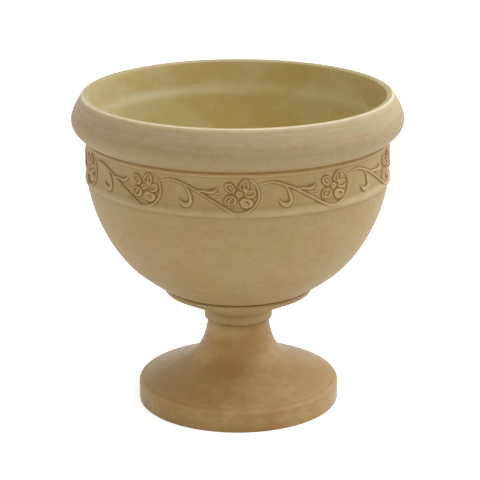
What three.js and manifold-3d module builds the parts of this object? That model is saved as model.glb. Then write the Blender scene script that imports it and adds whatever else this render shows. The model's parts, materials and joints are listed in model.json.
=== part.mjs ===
// A garden urn planter on a pedestal: a hemispherical bowl with a thick rolled rim and a moulded
// frieze of vine and flowers, carried on a hollow pedestal. The pedestal's spigot stands in a socket
// under the bowl, three screws hold the two together, and a rubber plug closes the drain.
// Millimetres, +Z up. The origin is the centre of the foot, on the ground, and -Y is the front.

import * as THREE from "three";
import { mergeVertices } from "three/addons/utils/BufferGeometryUtils.js";
import Module from "manifold-3d";

const wasm = await Module();
wasm.setup();

// ---- Driving dimensions ----------------------------------------------------------------------

const HEIGHT = 390; // ground to the top of the lip
const RIM_RADIUS = 200; // outside of the rolled rim
const RIM_WIDEST_Z = 360; // height at which the roll stands out furthest
const RIM_FOOT_Z = 338.5; // crevice where the roll meets the frieze
const LIP_RADIUS = 178.5; // mouth of the bowl
const LIP_OUTER_RADIUS = 186.5;
const LIP_ROUND = 1.8; // rounding of the lip's edges

const BOWL_RADIUS = 184; // the bowl is half a sphere
const BOWL_CENTRE_Z = 309;
const BOWL_WALL = 7.8;
const MOUTH_SHOULDER_Z = 353; // inside, the wall steps in below the roll

const FRIEZE_GROUND = 182.2; // radius of the frieze's background
const BORDER_PROUD = 2; // both borders of the frieze stand this far out of its ground
const UPPER_BORDER_Z = 333.5;
const LOWER_BORDER_Z = 291;
const LOWER_SLOPE_Z = 297;
const FRIEZE_FOOT_Z = 287.5;
const FRIEZE_MIDDLE_Z = 312; // the ornament is drawn about this height
const FLOWER_COUNT = 10; // flowers round the frieze, each with its length of vine
const FLOWER_PITCH = 115; // length of the drawing from one flower to the next
const ORNAMENT_ROOT = 1; // how deep the ornament is sunk into the ground it stands on

const CREVICE_Z = 149; // groove between the sphere and the dish that carries it
const DISH_RADIUS = 90.6;
const DISH_FOOT_RADIUS = 43;
const COLLAR_TOP_Z = 118.6;
const COLLAR_RADIUS = 42;
const COLLAR_FOOT_Z = 104.2;

const SOCKET_RADIUS = 37.8;
const SOCKET_ROOF_Z = 119.5;
const FLOOR_Z = 127; // inside floor of the bowl
const FLOOR_RADIUS = 45;
const DRAIN_RADIUS = 10.4;

const CLEARANCE = 0.3; // between pieces that seat on each other
const SPIGOT_RADIUS = SOCKET_RADIUS - 0.4;
const SPIGOT_TOP_Z = SOCKET_ROOF_Z - CLEARANCE;
const NECK_RADIUS = 38.3;
const NECK_TOP_Z = COLLAR_FOOT_Z - CLEARANCE;
const FOOT_RADIUS = 123.8;
const FOOT_EDGE_Z = 24.5; // height of the foot's upright side
const SKIRT_TOP = [72, 49.7]; // radius and height at which the cone meets the stem's curve
const SKIRT_FOOT = [119, 28.9]; // where the cone ends, at the ridge above the foot's side
const PEDESTAL_WALL = 5.4;
const TOP_PLATE_THICK = 6;
const PLATE_DRAIN_RADIUS = 13.5;
const RIB_COUNT = 6;
const RIB_THICK = 4;
const RIB_DEPTH = 12; // how far the ribs stand down from the skirt's underside
const RIB_TIP_RADIUS = 45; // the ribs end inside the wall of the stem
const RIB_TIP_Z = 66;

const SCREW_COUNT = 3;
const SCREW_CIRCLE = 23.5; // radius on which the screws stand
const SCREW_SHANK_RADIUS = 2.4;
const SCREW_HOLE_RADIUS = 2.75;
const SCREW_LENGTH = 30;
const SCREW_HEAD_RADIUS = 5.2;
const SCREW_HEAD_HEIGHT = 3.6;
const BOSS_RADIUS = 6;
const BOSS_FOOT_Z = 92;
const WASHER_RADIUS = 7.5;
const WASHER_THICK = 1.2;
const SCREW_SEGMENTS = 12; // sides of the screws and their holes

const BOWL_SEGMENTS = 40; // sides of the turned pieces, a multiple of the flower count
const PEDESTAL_SEGMENTS = 40;

// ---- Solids ----------------------------------------------------------------------------------

const FULL_TURN = 2 * Math.PI;
const point = ([radius, z]) => new THREE.Vector2(radius, z);
const bezier = (corners, steps) => new THREE.CubicBezierCurve(...corners.map(point)).getPoints(steps);

// Points on a circle about (0, centreZ), from one height to another.
function sphereArc(sphereRadius, centreZ, fromZ, toZ, steps) {
  const angleAt = (z) => Math.asin((z - centreZ) / sphereRadius);
  const curve = new THREE.EllipseCurve(
    0,
    centreZ,
    sphereRadius,
    sphereRadius,
    angleAt(fromZ),
    angleAt(toZ),
    toZ < fromZ,
  );
  return curve.getPoints(steps);
}

const radiusOnSphere = (sphereRadius, z) => Math.sqrt(sphereRadius ** 2 - (z - BOWL_CENTRE_Z) ** 2);

// A profile of radius against height, turned about Z. The profile runs down the outside and up the
// inside, and its first column of points faces -Y.
function turned(profile, segments) {
  const steps = profile.filter((p, i) => i === 0 || p.distanceTo(profile[i - 1]) > 0.01);
  return new THREE.LatheGeometry(steps.reverse(), segments).rotateX(Math.PI / 2);
}

function solidOf(geometry) {
  const bare = geometry.clone();
  bare.deleteAttribute("normal");
  bare.deleteAttribute("uv");
  const merged = mergeVertices(bare, 1e-3);
  return new wasm.Manifold(
    new wasm.Mesh({
      numProp: 3,
      vertProperties: merged.attributes.position.array,
      triVerts: new Uint32Array(merged.index.array),
    }),
  );
}

function geometryOf(solid) {
  const mesh = solid.getMesh();
  const geometry = new THREE.BufferGeometry();
  geometry.setAttribute("position", new THREE.BufferAttribute(mesh.vertProperties, 3));
  geometry.setIndex(new THREE.BufferAttribute(mesh.triVerts, 1));
  geometry.computeVertexNormals();
  return geometry;
}

// An upright cylinder between two heights, at a place on the plan.
function upright(radius, lowZ, highZ, [x, y], sides) {
  return new THREE.CylinderGeometry(radius, radius, highZ - lowZ, sides)
    .rotateX(Math.PI / 2)
    .translate(x, y, (lowZ + highZ) / 2);
}

// Places on a circle, the first at the front.
function aroundAxis(count, radius) {
  return Array.from({ length: count }, (_, i) => {
    const angle = (i / count) * FULL_TURN;
    return [radius * Math.sin(angle), -radius * Math.cos(angle)];
  });
}

// ---- The bowl --------------------------------------------------------------------------------

const BORDER_RADIUS = FRIEZE_GROUND + BORDER_PROUD;
const INNER_RADIUS = BOWL_RADIUS - BOWL_WALL;

// From the lip, down the outside: the roll, the frieze, the sphere, the dish and the collar.
function bowlOutside() {
  const widest = [RIM_RADIUS, RIM_WIDEST_Z];
  const rollTop = bezier([[LIP_OUTER_RADIUS, 388.2], [195, 378], [RIM_RADIUS, 369], widest], 4);
  const rollFoot = bezier([widest, [RIM_RADIUS, 352], [193, 345.5], [BORDER_RADIUS + 0.2, RIM_FOOT_Z]], 3);
  const frieze = [
    [BORDER_RADIUS, RIM_FOOT_Z - 0.6],
    [BORDER_RADIUS, UPPER_BORDER_Z],
    [FRIEZE_GROUND, UPPER_BORDER_Z - 0.8],
    [FRIEZE_GROUND, LOWER_SLOPE_Z],
    [BORDER_RADIUS + 0.4, LOWER_BORDER_Z],
    [BORDER_RADIUS + 0.4, FRIEZE_FOOT_Z],
  ].map(point);
  const sphere = sphereArc(BOWL_RADIUS, BOWL_CENTRE_Z, FRIEZE_FOOT_Z - 2.2, CREVICE_Z + 2, 7);
  const groove = [[DISH_RADIUS - 1.2, CREVICE_Z], [DISH_RADIUS, CREVICE_Z - 2.4]].map(point);
  const dish = bezier([[88.6, 144], [76, 138], [58, 128.5], [DISH_FOOT_RADIUS, COLLAR_TOP_Z + 0.6]], 3);
  const collar = [
    [COLLAR_RADIUS - 0.9, COLLAR_TOP_Z - 0.4],
    [COLLAR_RADIUS - 0.7, COLLAR_TOP_Z - 3.6],
    [COLLAR_RADIUS, COLLAR_FOOT_Z + 5.6],
    [COLLAR_RADIUS - 1.6, COLLAR_FOOT_Z],
  ].map(point);
  return [...rollTop, ...rollFoot, ...frieze, ...sphere, ...groove, ...dish, ...collar];
}

// From the collar, up the inside: the socket, the drain hole, the floor and the wall.
function bowlInside() {
  const socket = [
    [SOCKET_RADIUS, COLLAR_FOOT_Z],
    [SOCKET_RADIUS, SOCKET_ROOF_Z],
    [DRAIN_RADIUS, SOCKET_ROOF_Z],
    [DRAIN_RADIUS, FLOOR_Z],
    [FLOOR_RADIUS, FLOOR_Z],
  ].map(point);
  const sphereFootZ = 158.7;
  const sphereFoot = [radiusOnSphere(INNER_RADIUS, sphereFootZ), sphereFootZ];
  const hollow = bezier([[FLOOR_RADIUS + 3, FLOOR_Z + 1.6], [62, 137.5], [84, 153.8], sphereFoot], 3);
  const sphere = sphereArc(INNER_RADIUS, BOWL_CENTRE_Z, sphereFootZ, BOWL_CENTRE_Z, 5);
  const mouth = [
    [INNER_RADIUS + 0.2, RIM_FOOT_Z],
    [LIP_RADIUS - 0.5, MOUTH_SHOULDER_Z],
    [LIP_RADIUS, HEIGHT - LIP_ROUND],
    [LIP_RADIUS + LIP_ROUND, HEIGHT],
    [LIP_OUTER_RADIUS - LIP_ROUND * 1.6, HEIGHT],
  ].map(point);
  return [...socket, ...hollow, ...sphere, ...mouth];
}

// ---- The frieze's ornament -------------------------------------------------------------------
// It is drawn flat, as if the band were unrolled: x runs round the band, y is up and z stands out of
// the ground. One flower's length of it is drawn, about the middle of the band.

const VINE_LINE = [
  [-92, 12.2],
  [-86, 13.9],
  [-78, 15.2],
  [-69, 13.6],
  [-60, 10.4],
  [-45, 3.4],
  [-30, -5.6],
  [-14, -15.4],
  [-4, -19.4],
  [5, -20],
  [14, -16],
  [21, -9],
  [23.8, 1],
  [21, 12],
  [14, 17.8],
];
const TENDRIL_LINE = [
  [-60, 9],
  [-56.4, 4.4],
  [-53.4, -1],
  [-53, -8],
];
const HOOK_LEAF = [
  [-51, -5],
  [-51.6, -10.6],
  [-55.6, -14.6],
  [-60.6, -14.2],
  [-65, -10.4],
  [-68, -4.6],
  [-63.4, -7.4],
  [-58.6, -8.6],
  [-55, -5.6],
];
const UPPER_LEAF = [
  [-47, 3.4],
  [-38, 2.6],
  [-30, 1.4],
  [-25, 3.4],
  [-22.6, 10.8],
  [-29, 6.8],
  [-38, 5.8],
  [-47, 5.6],
];
const BUTTON = [1.4, 2.4]; // middle of the flower
const BUTTON_RADIUS = 4;
const PETAL_HEIGHT = 2.4; // at its raised rim
const PETAL_MIDDLE_HEIGHT = 0.5;
const BUTTON_MIDDLE_HEIGHT = 1.4;
const LEAF_HEIGHT = 1.9;
const STEM_HEIGHT = 2;
const STEM_HALF_WIDTH = 2.6; // at its root
// Each petal's direction from the button in degrees, distance to its middle, half length, half width.
const PETALS = [
  [3, 12.4, 7, 5.2],
  [58, 12.2, 8, 6],
  [146, 12.6, 7.4, 5.8],
  [216, 12.8, 7.6, 6.2],
  [306, 12.8, 7.6, 7],
];

// A ridge with sloping sides, along a line in the plane of the drawing. The section is given as depth
// into the band and distance to the line's left.
function ridge(line, steps) {
  const path = new THREE.CatmullRomCurve3(line.map(([x, y]) => new THREE.Vector3(x, y, 0)));
  const section = new THREE.Shape([
    new THREE.Vector2(ORNAMENT_ROOT, -STEM_HALF_WIDTH),
    new THREE.Vector2(ORNAMENT_ROOT, STEM_HALF_WIDTH),
    new THREE.Vector2(-STEM_HEIGHT, 0),
  ]);
  return new THREE.ExtrudeGeometry(section, { steps, extrudePath: path, bevelEnabled: false });
}

function leaf(outline) {
  const shape = new THREE.Shape(outline.map(point));
  const depth = LEAF_HEIGHT + ORNAMENT_ROOT;
  return new THREE.ExtrudeGeometry(shape, { depth, bevelEnabled: false }).translate(0, 0, -ORNAMENT_ROOT);
}

// A disc of radius 1 with a raised rim and a dished middle.
function dished(middleHeight, rimRadius, sides) {
  const section = [
    [0, middleHeight],
    [rimRadius, PETAL_HEIGHT],
    [1, -ORNAMENT_ROOT],
    [0, -ORNAMENT_ROOT],
  ].map(point);
  return turned(section, sides);
}

function petal([direction, distance, halfLength, halfWidth]) {
  const angle = THREE.MathUtils.degToRad(direction);
  const [x, y] = BUTTON;
  return dished(PETAL_MIDDLE_HEIGHT, 0.74, 7)
    .scale(halfLength, halfWidth, 1)
    .rotateZ(angle)
    .translate(x + distance * Math.cos(angle), y + distance * Math.sin(angle), 0);
}

function ornament() {
  const button = dished(BUTTON_MIDDLE_HEIGHT, 0.6, 6)
    .scale(BUTTON_RADIUS, BUTTON_RADIUS, 1)
    .translate(...BUTTON, 0);
  return [
    ridge(VINE_LINE, 14),
    ridge(TENDRIL_LINE, 2),
    leaf(HOOK_LEAF),
    leaf(UPPER_LEAF),
    button,
    ...PETALS.map(petal),
  ];
}

// Bends a flat drawing round the band, at its place among the repeats.
function wrapped(geometry, repeat) {
  const positions = geometry.attributes.position;
  for (let i = 0; i < positions.count; i++) {
    const angle = ((positions.getX(i) / FLOWER_PITCH + repeat) / FLOWER_COUNT) * FULL_TURN;
    const radius = FRIEZE_GROUND + positions.getZ(i);
    const z = FRIEZE_MIDDLE_Z + positions.getY(i);
    positions.setXYZ(i, radius * Math.sin(angle), -radius * Math.cos(angle), z);
  }
  return geometry;
}

// ---- The bowl's solid ------------------------------------------------------------------------

function bowlSolid() {
  const outline = [...bowlOutside(), ...bowlInside()];
  outline.push(outline[0].clone());
  let solid = solidOf(turned(outline, BOWL_SEGMENTS));
  for (let flower = 0; flower < FLOWER_COUNT; flower++) {
    for (const piece of ornament()) {
      solid = solid.add(solidOf(wrapped(piece, flower)));
    }
  }
  for (const spot of aroundAxis(SCREW_COUNT, SCREW_CIRCLE)) {
    const hole = upright(SCREW_HOLE_RADIUS, SOCKET_ROOF_Z - 2, FLOOR_Z + 2, spot, SCREW_SEGMENTS);
    solid = solid.subtract(solidOf(hole));
  }
  return solid;
}

// ---- The pedestal ----------------------------------------------------------------------------

const SKIRT_SLOPE = (SKIRT_TOP[1] - SKIRT_FOOT[1]) / (SKIRT_FOOT[0] - SKIRT_TOP[0]);
const skirtInsideZ = (radius) =>
  SKIRT_TOP[1] - (radius - SKIRT_TOP[0]) * SKIRT_SLOPE - PEDESTAL_WALL * Math.hypot(1, SKIRT_SLOPE);

function pedestalOutline() {
  const [skirtRadius, skirtZ] = SKIRT_TOP;
  const neckInside = SPIGOT_RADIUS - PEDESTAL_WALL + 1;
  const footInside = FOOT_RADIUS - PEDESTAL_WALL;
  const plateFootZ = SPIGOT_TOP_Z - TOP_PLATE_THICK;
  const spigot = [
    [PLATE_DRAIN_RADIUS, SPIGOT_TOP_Z],
    [SPIGOT_RADIUS - 1, SPIGOT_TOP_Z],
    [SPIGOT_RADIUS, SPIGOT_TOP_Z - 1],
    [SPIGOT_RADIUS, NECK_TOP_Z],
  ].map(point);
  const stem = bezier([[NECK_RADIUS, NECK_TOP_Z], [38.9, 80], [46, 60.5], [skirtRadius, skirtZ]], 7);
  const foot = [
    SKIRT_FOOT,
    [FOOT_RADIUS - 0.4, FOOT_EDGE_Z],
    [FOOT_RADIUS, 0],
    [footInside, 0],
    [footInside - 0.3, skirtInsideZ(footInside) - 4],
    [footInside - 3, skirtInsideZ(footInside - 3)],
  ].map(point);
  const skirtInner = [skirtRadius - 2, skirtInsideZ(skirtRadius - 2)];
  const bore = bezier([skirtInner, [41, 57], [33.6, 80], [neckInside, NECK_TOP_Z]], 5);
  const plate = [
    [neckInside, plateFootZ],
    [PLATE_DRAIN_RADIUS, plateFootZ],
    [PLATE_DRAIN_RADIUS, SPIGOT_TOP_Z],
  ].map(point);
  return [...spigot, ...stem, ...foot, ...bore, ...plate];
}

// A web under the skirt, from the stem's wall to the foot's side, turned to its place on the plan.
function ribSolid(angle) {
  const footInside = FOOT_RADIUS - PEDESTAL_WALL;
  const embed = 1.5;
  const outerEdge = footInside + embed;
  const outline = new THREE.Shape(
    [
      [outerEdge, skirtInsideZ(outerEdge) - RIB_DEPTH],
      [outerEdge, skirtInsideZ(footInside) - 4],
      [footInside - 3, skirtInsideZ(footInside - 3) + embed],
      [SKIRT_TOP[0], skirtInsideZ(SKIRT_TOP[0]) + embed],
      [57, 54],
      [RIB_TIP_RADIUS, RIB_TIP_Z],
      [54, skirtInsideZ(54) - RIB_DEPTH],
    ].map(point),
  );
  const web = new THREE.ExtrudeGeometry(outline, { depth: RIB_THICK, bevelEnabled: false });
  web.translate(0, 0, -RIB_THICK / 2).rotateX(Math.PI / 2);
  return solidOf(web.rotateZ(angle));
}

function pedestalSolid() {
  let solid = solidOf(turned(pedestalOutline(), PEDESTAL_SEGMENTS));
  for (let i = 0; i < RIB_COUNT; i++) {
    solid = solid.add(ribSolid(((i + 0.5) / RIB_COUNT) * FULL_TURN));
  }
  const plateFootZ = SPIGOT_TOP_Z - TOP_PLATE_THICK;
  for (const spot of aroundAxis(SCREW_COUNT, SCREW_CIRCLE)) {
    const boss = upright(BOSS_RADIUS, BOSS_FOOT_Z, plateFootZ + 1, spot, 18);
    const hole = upright(SCREW_HOLE_RADIUS, BOSS_FOOT_Z - 2, SPIGOT_TOP_Z + 2, spot, SCREW_SEGMENTS);
    solid = solid.add(solidOf(boss)).subtract(solidOf(hole));
  }
  return solid;
}

// ---- Screws, washers and the drain plug ------------------------------------------------------

const WASHER_FOOT_Z = FLOOR_Z + CLEARANCE;
const HEAD_FOOT_Z = WASHER_FOOT_Z + WASHER_THICK + CLEARANCE;

// A pan-head screw with a cross recess, its head's underside at z = 0.
function screwSolid() {
  const crown = bezier(
    [
      [SCREW_HEAD_RADIUS, SCREW_HEAD_HEIGHT * 0.45],
      [SCREW_HEAD_RADIUS, SCREW_HEAD_HEIGHT * 0.8],
      [SCREW_HEAD_RADIUS * 0.7, SCREW_HEAD_HEIGHT],
      [0, SCREW_HEAD_HEIGHT],
    ],
    3,
  ).reverse();
  const shank = [
    [SCREW_HEAD_RADIUS, 0],
    [SCREW_SHANK_RADIUS, 0],
    [SCREW_SHANK_RADIUS, 4 - SCREW_LENGTH],
    [0, -SCREW_LENGTH],
  ].map(point);
  let solid = solidOf(turned([...crown, ...shank], SCREW_SEGMENTS));
  for (const turn of [0, Math.PI / 2]) {
    const slot = new THREE.BoxGeometry(5.4, 1.2, 2.2).rotateZ(turn).translate(0, 0, SCREW_HEAD_HEIGHT);
    solid = solid.subtract(solidOf(slot));
  }
  return solid;
}

function washerGeometry() {
  const ring = [
    [SCREW_HOLE_RADIUS, 0],
    [SCREW_HOLE_RADIUS, WASHER_THICK],
    [WASHER_RADIUS, WASHER_THICK],
    [WASHER_RADIUS, 0],
    [SCREW_HOLE_RADIUS, 0],
  ].map(point);
  return turned(ring, 18);
}

// A flanged stopper of rubber, with a knob to pull it by. Its flange's underside is at z = 0.
function plugGeometry() {
  const flange = 14;
  const outline = [
    [0, 15],
    [3.6, 14.4],
    [5, 12],
    [3.4, 8],
    [3.6, 3.6],
    [flange - 1.2, 3],
    [flange, 0],
    [DRAIN_RADIUS - 0.4, 0],
    [DRAIN_RADIUS - 1.6, -11.5],
    [DRAIN_RADIUS - 2.8, -12.7],
    [0, -12.7],
  ].map(point);
  return turned(outline, 20);
}

// ---- Assembly --------------------------------------------------------------------------------

const washedStone = new THREE.MeshStandardMaterial({ color: 0xb09870, roughness: 0.82, metalness: 0 });
const steel = new THREE.MeshStandardMaterial({ color: 0xb8b8b4, roughness: 0.35, metalness: 1 });
const rubber = new THREE.MeshStandardMaterial({ color: 0x2b2a28, roughness: 0.7, metalness: 0 });

const urn = new THREE.Group();

function place(name, geometry, material, [x, y, z] = [0, 0, 0]) {
  const mesh = new THREE.Mesh(geometry, material);
  mesh.name = name;
  mesh.position.set(x, y, z);
  urn.add(mesh);
}

place("bowl", geometryOf(bowlSolid()), washedStone);
place("pedestal", geometryOf(pedestalSolid()), washedStone);
place("drain_plug", plugGeometry(), rubber, [0, 0, FLOOR_Z + CLEARANCE]);

const screw = geometryOf(screwSolid());
const washer = washerGeometry();
aroundAxis(SCREW_COUNT, SCREW_CIRCLE).forEach(([x, y], i) => {
  place(`neck_screw_${i + 1}`, screw, steel, [x, y, HEAD_FOOT_Z]);
  place(`screw_washer_${i + 1}`, washer, steel, [x, y, WASHER_FOOT_Z]);
});

export default urn;
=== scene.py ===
# %% [markdown]
# # A garden urn on a pedestal
#
# This lesson dresses a CAD model of a moulded garden urn so that it looks like the real one: a
# stone-coloured plastic, washed with brown in the hollows of its frieze and rubbed pale on its edges.
# The CAD model says where everything is. It is loaded first, and it never moves. Each finer piece that
# is made here takes the place of one of its nodes and rides on the same body.

# %% The frame
import bpy
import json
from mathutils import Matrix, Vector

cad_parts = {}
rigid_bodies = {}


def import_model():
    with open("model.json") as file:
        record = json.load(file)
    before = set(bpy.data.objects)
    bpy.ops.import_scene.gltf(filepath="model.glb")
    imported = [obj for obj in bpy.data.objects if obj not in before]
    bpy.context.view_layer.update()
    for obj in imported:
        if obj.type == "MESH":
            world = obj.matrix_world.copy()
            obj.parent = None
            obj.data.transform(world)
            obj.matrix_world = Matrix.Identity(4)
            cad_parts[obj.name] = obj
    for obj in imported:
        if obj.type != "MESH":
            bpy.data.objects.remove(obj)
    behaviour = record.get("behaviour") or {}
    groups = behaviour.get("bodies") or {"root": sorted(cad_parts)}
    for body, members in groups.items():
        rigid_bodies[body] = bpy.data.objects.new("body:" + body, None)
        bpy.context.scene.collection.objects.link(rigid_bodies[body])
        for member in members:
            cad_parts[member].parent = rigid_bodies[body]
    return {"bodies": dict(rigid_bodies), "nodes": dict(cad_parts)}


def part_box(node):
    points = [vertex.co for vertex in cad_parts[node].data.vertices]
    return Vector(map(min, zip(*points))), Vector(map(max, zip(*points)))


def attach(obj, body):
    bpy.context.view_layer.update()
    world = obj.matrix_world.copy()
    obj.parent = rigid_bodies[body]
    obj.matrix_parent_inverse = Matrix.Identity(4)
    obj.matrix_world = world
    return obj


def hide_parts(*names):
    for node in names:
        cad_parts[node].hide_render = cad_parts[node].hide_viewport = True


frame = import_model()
kept = {*frame["nodes"].values(), *frame["bodies"].values()}
for startup_object in set(bpy.data.objects) - kept:
    bpy.data.objects.remove(startup_object)
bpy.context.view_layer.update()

import json
import math

import bmesh
import numpy as np
from mathutils import Matrix, Vector

MM = 0.001
print("CAD nodes:", sorted(frame["nodes"]))

# %% [markdown]
# ## The camera
#
# The outline of a turned piece says a lot about the camera: the rim, the foot and the frieze's borders
# are all circles, and how round their ellipses look gives the height from which they are seen. The
# camera stands 2.2 m away and looks down by 17.5 degrees, through a long lens.

# %% The camera
CAMERA_DISTANCE = 2.214
CAMERA_HEIGHT = 0.900
CAMERA_PITCH = 17.47
CAMERA_ROLL = -0.17

camera_data = bpy.data.cameras.new("camera")
camera_data.lens = 141.9
camera_data.sensor_width = 36
camera_data.shift_x = 0.0040
camera = bpy.data.objects.new("camera", camera_data)
camera.location = (0, -CAMERA_DISTANCE, CAMERA_HEIGHT)
look = Matrix.Rotation(math.radians(90 - CAMERA_PITCH), 3, "X")
look = look @ Matrix.Rotation(math.radians(CAMERA_ROLL), 3, "Z")
camera.rotation_euler = look.to_euler()
bpy.context.scene.collection.objects.link(camera)
bpy.context.scene.camera = camera
print("camera looks down by", CAMERA_PITCH, "degrees")

# %% [markdown]
# ## Node trees without tears
#
# Materials and Geometry Nodes are both trees of nodes, and a script that links them one by one is hard
# to read. This class wraps one output socket. Arithmetic on it adds Math nodes, so that a formula is
# written as Python writes it, also with the number first, as in `1 - mask`. Every other node is made by
# `node`, which sets the node's settings first, because they can change which sockets it has.

# %% A socket that does arithmetic
def arithmetic(operation, swapped=False):
    """A method that adds a Math node. `swapped` puts the number first, as in `1 - mask`."""

    def method(self, other):
        values = (other, self) if swapped else (self, other)
        return self.node("ShaderNodeMath", dict(enumerate(values)), {"operation": operation})

    return method


class Wire:
    """An output socket. Without a socket it is a tree that nodes can be added to."""

    __add__ = arithmetic("ADD")
    __radd__ = arithmetic("ADD", swapped=True)
    __sub__ = arithmetic("SUBTRACT")
    __rsub__ = arithmetic("SUBTRACT", swapped=True)
    __mul__ = arithmetic("MULTIPLY")
    __rmul__ = arithmetic("MULTIPLY", swapped=True)
    __truediv__ = arithmetic("DIVIDE")
    __pow__ = arithmetic("POWER")

    def __init__(self, tree, socket=None):
        self.tree = tree
        self.socket = socket

    def node(self, kind, inputs=None, settings=None, output=0):
        made = self.tree.nodes.new(kind)
        for name, value in (settings or {}).items():
            setattr(made, name, value)
        for key, value in (inputs or {}).items():
            if isinstance(value, Wire):
                self.tree.links.new(value.socket, made.inputs[key])
            else:
                made.inputs[key].default_value = value
        return Wire(self.tree, made.outputs[output] if made.outputs else None)

    def between(self, low, high):
        """0 below `low`, 1 above `high`, and smooth between the two."""
        inputs = {"Value": self, "From Min": low, "From Max": high}
        return self.node("ShaderNodeMapRange", inputs, {"interpolation_type": "SMOOTHSTEP"})

    def held(self, low=0.0, high=1.0):
        return self.node("ShaderNodeClamp", {"Value": self, "Min": low, "Max": high})


print("wrapped sockets understand + - * / **")

# %% [markdown]
# ## Turning a profile
#
# A potter turns a bowl on a wheel, and the pattern for this moulding was turned too. The tree below does
# the same: it takes a profile drawn as edges, upright in the XZ plane, and sweeps it round a circle with
# Curve to Mesh. The Spin tool would do the same by hand, but a tree keeps the number of sides as an input.
# Curve to Mesh lays the profile's X along the circle's outward normal and its Y downwards, so the tree
# turns the profile flat and moves it in by the circle's radius first.

# %% A tree that turns a profile about Z
GUIDE_RADIUS = 0.1  # of the circle along which the profile is swept, in metres


def new_tree(name, **sockets):
    """A tree that takes a geometry and the sockets given, each with its kind, and makes a geometry."""
    tree = bpy.data.node_groups.new(name, "GeometryNodeTree")
    for label, kind in {"Geometry": "Geometry", **sockets}.items():
        tree.interface.new_socket(label, in_out="INPUT", socket_type="NodeSocket" + kind)
    tree.interface.new_socket("Geometry", in_out="OUTPUT", socket_type="NodeSocketGeometry")
    return tree


def group_input(tree, label):
    return Wire(tree).node("NodeGroupInput", output=label)


def finish_tree(tree, geometry):
    real = geometry.node("GeometryNodeRealizeInstances", {"Geometry": geometry})
    paint = {"Geometry": real, "Material": group_input(tree, "material")}
    painted = real.node("GeometryNodeSetMaterial", paint)
    painted.node("NodeGroupOutput", {"Geometry": painted})
    return tree


def turning_tree():
    tree = new_tree("turned", sides="Int", material="Material")
    start = group_input(tree, "Geometry")
    move = {"Geometry": start, "Translation": (-GUIDE_RADIUS, 0, 0), "Rotation": (math.pi / 2, 0, 0)}
    flat = start.node("GeometryNodeTransform", move)
    profile = start.node("GeometryNodeMeshToCurve", {"Mesh": flat})
    ring = {"Resolution": group_input(tree, "sides"), "Radius": GUIDE_RADIUS}
    circle = start.node("GeometryNodeCurvePrimitiveCircle", ring)
    swept = start.node("GeometryNodeCurveToMesh", {"Curve": circle, "Profile Curve": profile})
    return finish_tree(tree, swept)


TURNED = turning_tree()
print("turning tree:", len(TURNED.nodes), "nodes")

# %% [markdown]
# ## Repeating round the axis
#
# The frieze has ten flowers, the skirt has six ribs, and three screws hold the neck. One tree serves them
# all: it makes a line of points that all lie on the axis, puts an instance of the piece on each, and
# turns every instance one step further than the last.

# %% A tree that repeats a piece round the axis
def repeating_tree():
    tree = new_tree("around_axis", count="Int", first_angle="Float", material="Material")
    piece = group_input(tree, "Geometry")
    count = group_input(tree, "count")
    index = piece.node("GeometryNodeInputIndex")
    angle = index * (2 * math.pi) / count + group_input(tree, "first_angle")
    points = piece.node("GeometryNodeMeshLine", {"Count": count, "Offset": (0, 0, 0)}, {"mode": "OFFSET"})
    turn = piece.node("ShaderNodeCombineXYZ", {"Z": angle})
    copy = {"Points": points, "Instance": piece, "Rotation": turn}
    return finish_tree(tree, piece.node("GeometryNodeInstanceOnPoints", copy))


AROUND_AXIS = repeating_tree()
print("repeating tree:", len(AROUND_AXIS.nodes), "nodes")

# %% [markdown]
# ## From a tree to a plain mesh
#
# A modifier's inputs are set by the identifier of each socket, not by its name, and before Blender first
# evaluates the object. The result is copied to a mesh of its own, and the modifier goes.

# %% Running a tree
def plain_mesh(name, vertices, edges=(), faces=()):
    mesh = bpy.data.meshes.new(name)
    mesh.from_pydata([tuple(map(float, v)) for v in vertices], list(edges), list(faces))
    mesh.update()
    return mesh


def put_in_scene(name, mesh):
    piece = bpy.data.objects.new(name, mesh)
    bpy.context.scene.collection.objects.link(piece)
    return piece


def evaluated_mesh(piece):
    """The mesh that an object's modifiers make of it. The object goes."""
    depsgraph = bpy.context.evaluated_depsgraph_get()
    made = bpy.data.meshes.new_from_object(piece.evaluated_get(depsgraph))
    bpy.data.objects.remove(piece)
    return made


def through(tree, mesh, **values):
    carrier = put_in_scene("carrier", mesh)
    modifier = carrier.modifiers.new("tree", "NODES")
    modifier.node_group = tree
    sockets = {item.name: item.identifier for item in tree.interface.items_tree if item.in_out == "INPUT"}
    for label, value in values.items():
        modifier[sockets[label]] = value
    return evaluated_mesh(carrier)


def turned(profile, material, sides=200, closed=True):
    """Turns a profile of (radius, height) in millimetres about Z."""
    count = len(profile)
    edges = [(i, i + 1) for i in range(count - 1)] + ([(count - 1, 0)] if closed else [])
    drawing = plain_mesh("profile", [(r * MM, 0, z * MM) for r, z in profile], edges)
    return through(TURNED, drawing, sides=sides, material=material)


def around_axis(mesh, count, material, first_angle=0.0):
    return through(AROUND_AXIS, mesh, count=count, first_angle=first_angle, material=material)


def take_material(mesh, source):
    """Gives all of a mesh the material that another one has."""
    mesh.materials.clear()
    for material in filter(None, source.materials):
        mesh.materials.append(material)
    mesh.polygons.foreach_set("material_index", [0] * len(mesh.polygons))


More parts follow.
